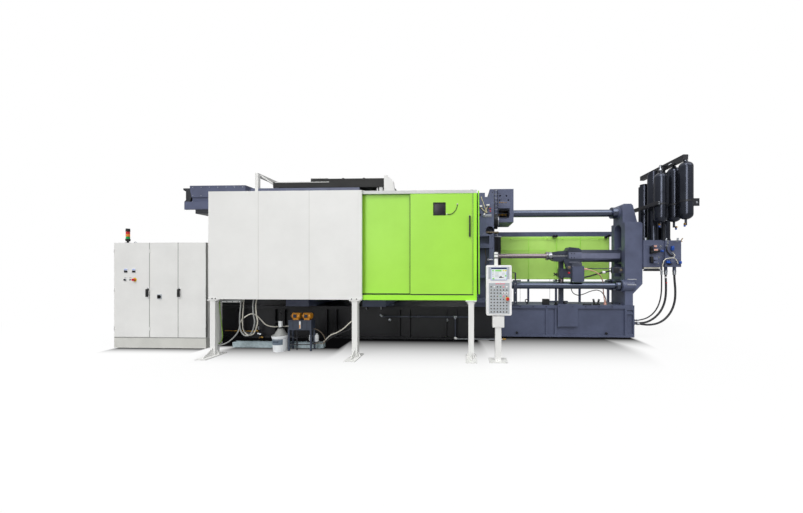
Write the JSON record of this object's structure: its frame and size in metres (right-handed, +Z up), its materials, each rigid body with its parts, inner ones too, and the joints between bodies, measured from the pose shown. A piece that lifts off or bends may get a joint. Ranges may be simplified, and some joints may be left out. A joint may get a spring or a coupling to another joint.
{
  "type": "cold chamber die casting machine",
  "caption": "Horizontal cold chamber die casting machine with toggle clamp, sliding safety door, shot unit with accumulators, electrical cabinet and control pedestal.",
  "frame": {"origin": "centre of the footprint box on the floor", "axes": "+X along the machine from the electrical cabinet to the shot end, -Y is the operator side, +Z up"},
  "size_m": [12.08, 4.38, 4.01],
  "materials": {
    "bed_paint": "satin structural paint",
    "machine_paint": "satin enamel on castings",
    "dark_paint": "semi-gloss dark enamel",
    "black_steel": "black oxide steel",
    "rod_steel": "ground guide rods",
    "bright_steel": "turned and ground steel",
    "plunger_steel": "ground plunger steel",
    "guard_white": "satin powder coat",
    "guard_green": "semi-gloss powder coat",
    "sill_green": "semi-gloss powder coat",
    "rear_green": "semi-gloss powder coat",
    "cabinet_grey": "textured powder coat",
    "bottle_paint": "gloss black enamel",
    "hose_rubber": "matt hose cover",
    "black_plastic": "moulded black plastic",
    "window_glass": "tinted sheet",
    "red_plastic": "moulded red plastic",
    "lamp_plastic": "lamp lenses",
    "pail_plastic": "moulded white plastic",
    "pump_paint": "motor enamel",
    "keypad_foil": "printed membrane foil"
  },
  "bodies": {
    "machine": {"levelling_pads": "black_steel", "clamp_bed": "bed_paint", "shot_bed": "bed_paint", "fixed_platen": "machine_paint", "rod_bracket": "machine_paint", "tie_bars": "bright_steel", "tie_bar_nuts": "black_steel", "rear_platen": "machine_paint", "clamp_cylinder": "machine_paint", "c_frame": "machine_paint", "guide_rods": "rod_steel", "shot_cylinder": "dark_paint", "shot_sleeve": "bright_steel", "manifold_block": "machine_paint", "piston_accumulators": "bottle_paint", "nitrogen_bottles": "bottle_paint", "bottle_rack": "black_steel", "hose_front": "hose_rubber", "hose_middle": "hose_rubber", "hose_rear": "hose_rubber", "guard_posts": "guard_white", "guard_frame": "guard_white", "guard_panels": "guard_white", "rear_guard_panels": "guard_white", "door_surround": "sill_green", "shot_guard": "rear_green", "hydraulic_housing": "bed_paint", "cabinet_body": "cabinet_grey", "signal_tower": "lamp_plastic", "panel_post": "guard_white", "lubrication_unit": "pump_paint", "oil_pail": "pail_plastic", "floor_channel": "bright_steel", "water_pipes": "dark_paint"},
    "moving_platen": {"moving_platen": "machine_paint"},
    "ejector": {"ejector_plate": "bright_steel"},
    "crosshead": {"crosshead": "machine_paint"},
    "upper_rear_links": {"upper_rear_links": "machine_paint"},
    "lower_rear_links": {"lower_rear_links": "machine_paint"},
    "upper_front_links": {"upper_front_links": "machine_paint"},
    "lower_front_links": {"lower_front_links": "machine_paint"},
    "upper_short_links": {"upper_short_links": "machine_paint"},
    "lower_short_links": {"lower_short_links": "machine_paint"},
    "plunger": {"plunger_rod": "plunger_steel"},
    "leading_door": {"leading_door": "guard_green", "door_window": "window_glass", "door_handle": "black_plastic", "door_cable": "hose_rubber"},
    "trailing_door": {"trailing_door": "guard_green"},
    "roof_cover": {"roof_cover": "dark_paint"},
    "cabinet_door_left": {"cabinet_door_left": "cabinet_grey"},
    "cabinet_door_middle": {"cabinet_door_middle": "cabinet_grey"},
    "cabinet_door_right": {"cabinet_door_right": "cabinet_grey"},
    "cabinet_handle_left": {"cabinet_handle_left": "black_plastic"},
    "cabinet_handle_right": {"cabinet_handle_right": "black_plastic"},
    "main_switch": {"cabinet_main_switch": "black_plastic"},
    "cabinet_stop": {"cabinet_stop_button": "red_plastic"},
    "panel_head": {"panel_box": "guard_white", "panel_face": "keypad_foil"},
    "panel_stop": {"panel_stop_button": "red_plastic"}
  },
  "joints": [
    {"name": "platen_slide", "type": "slide", "parent": "machine", "child": "moving_platen", "axis": [1, 0, 0], "range_m": [0, 0.866]},
    {"name": "ejector_slide", "type": "slide", "parent": "moving_platen", "child": "ejector", "axis": [1, 0, 0], "range_m": [0, 0.12]},
    {"name": "crosshead_slide", "type": "slide", "parent": "machine", "child": "crosshead", "axis": [1, 0, 0], "range_m": [0, 0.905]},
    {"name": "upper_rear_pivot", "type": "hinge", "parent": "machine", "child": "upper_rear_links", "pos_m": [-1.806, 0, 2.73], "axis": [0, -1, 0], "range_deg": [0, 65.05]},
    {"name": "lower_rear_pivot", "type": "hinge", "parent": "machine", "child": "lower_rear_links", "pos_m": [-1.806, 0, 1.13], "axis": [0, 1, 0], "range_deg": [0, 65.05]},
    {"name": "upper_front_pivot", "type": "hinge", "parent": "moving_platen", "child": "upper_front_links", "pos_m": [-1.172, 0, 2.73], "axis": [0, 1, 0], "range_deg": [0, 65.05]},
    {"name": "lower_front_pivot", "type": "hinge", "parent": "moving_platen", "child": "lower_front_links", "pos_m": [-1.172, 0, 1.13], "axis": [0, -1, 0], "range_deg": [0, 65.05]},
    {"name": "upper_short_pivot", "type": "hinge", "parent": "crosshead", "child": "upper_short_links", "pos_m": [-2.046, 0, 2.23], "axis": [0, -1, 0], "range_deg": [0, 118]},
    {"name": "lower_short_pivot", "type": "hinge", "parent": "crosshead", "child": "lower_short_links", "pos_m": [-2.046, 0, 1.63], "axis": [0, 1, 0], "range_deg": [0, 118]},
    {"name": "plunger_slide", "type": "slide", "parent": "machine", "child": "plunger", "axis": [-1, 0, 0], "range_m": [0, 0.8]},
    {"name": "door_slide", "type": "slide", "parent": "machine", "child": "leading_door", "axis": [-1, 0, 0], "range_m": [0, 1.85]},
    {"name": "trailing_door_slide", "type": "slide", "parent": "machine", "child": "trailing_door", "axis": [-1, 0, 0], "range_m": [0, 0.925]},
    {"name": "roof_slide", "type": "slide", "parent": "machine", "child": "roof_cover", "axis": [-1, 0, 0], "range_m": [0, 0.6]},
    {"name": "cabinet_hinge_left", "type": "hinge", "parent": "machine", "child": "cabinet_door_left", "pos_m": [-6.031, -1.45, 1.18], "axis": [0, 0, -1], "range_deg": [0, 110]},
    {"name": "cabinet_hinge_middle", "type": "hinge", "parent": "machine", "child": "cabinet_door_middle", "pos_m": [-5.274, -1.45, 1.18], "axis": [0, 0, -1], "range_deg": [0, 110]},
    {"name": "cabinet_hinge_right", "type": "hinge", "parent": "machine", "child": "cabinet_door_right", "pos_m": [-4.109, -1.45, 1.18], "axis": [0, 0, 1], "range_deg": [0, 110]},
    {"name": "cabinet_handle_left_turn", "type": "hinge", "parent": "cabinet_door_left", "child": "cabinet_handle_left", "pos_m": [-5.312, -1.45, 1.19], "axis": [0, 1, 0], "range_deg": [0, 90]},
    {"name": "cabinet_handle_right_turn", "type": "hinge", "parent": "cabinet_door_right", "child": "cabinet_handle_right", "pos_m": [-4.652, -1.45, 1.19], "axis": [0, -1, 0], "range_deg": [0, 90]},
    {"name": "main_switch_turn", "type": "hinge", "parent": "cabinet_door_middle", "child": "main_switch", "pos_m": [-5.073, -1.45, 1.048], "axis": [0, -1, 0], "range_deg": [0, 90]},
    {"name": "cabinet_stop_press", "type": "slide", "parent": "cabinet_door_left", "child": "cabinet_stop", "axis": [0, 1, 0], "range_m": [0, 0.006], "stiffness_N_per_m": 600},
    {"name": "panel_swivel", "type": "hinge", "parent": "machine", "child": "panel_head", "pos_m": [1.722, -2.02, 0.8], "axis": [0, 0, 1], "range_deg": [-60, 60]},
    {"name": "panel_stop_press", "type": "slide", "parent": "panel_head", "child": "panel_stop", "axis": [0, 1, 0], "range_m": [0, 0.006], "stiffness_N_per_m": 600}
  ],
  "couplings": [
    {"joint": "crosshead_slide", "follows": "platen_slide", "ratio": 1.0442},
    {"joint": "upper_rear_pivot", "follows": "platen_slide", "rad_per_m": 1.3099},
    {"joint": "lower_rear_pivot", "follows": "platen_slide", "rad_per_m": 1.3099},
    {"joint": "upper_front_pivot", "follows": "platen_slide", "rad_per_m": 1.3099},
    {"joint": "lower_front_pivot", "follows": "platen_slide", "rad_per_m": 1.3099},
    {"joint": "upper_short_pivot", "follows": "platen_slide", "rad_per_m": 2.3741},
    {"joint": "lower_short_pivot", "follows": "platen_slide", "rad_per_m": 2.3741},
    {"joint": "trailing_door_slide", "follows": "door_slide", "ratio": 0.5}
  ]
}
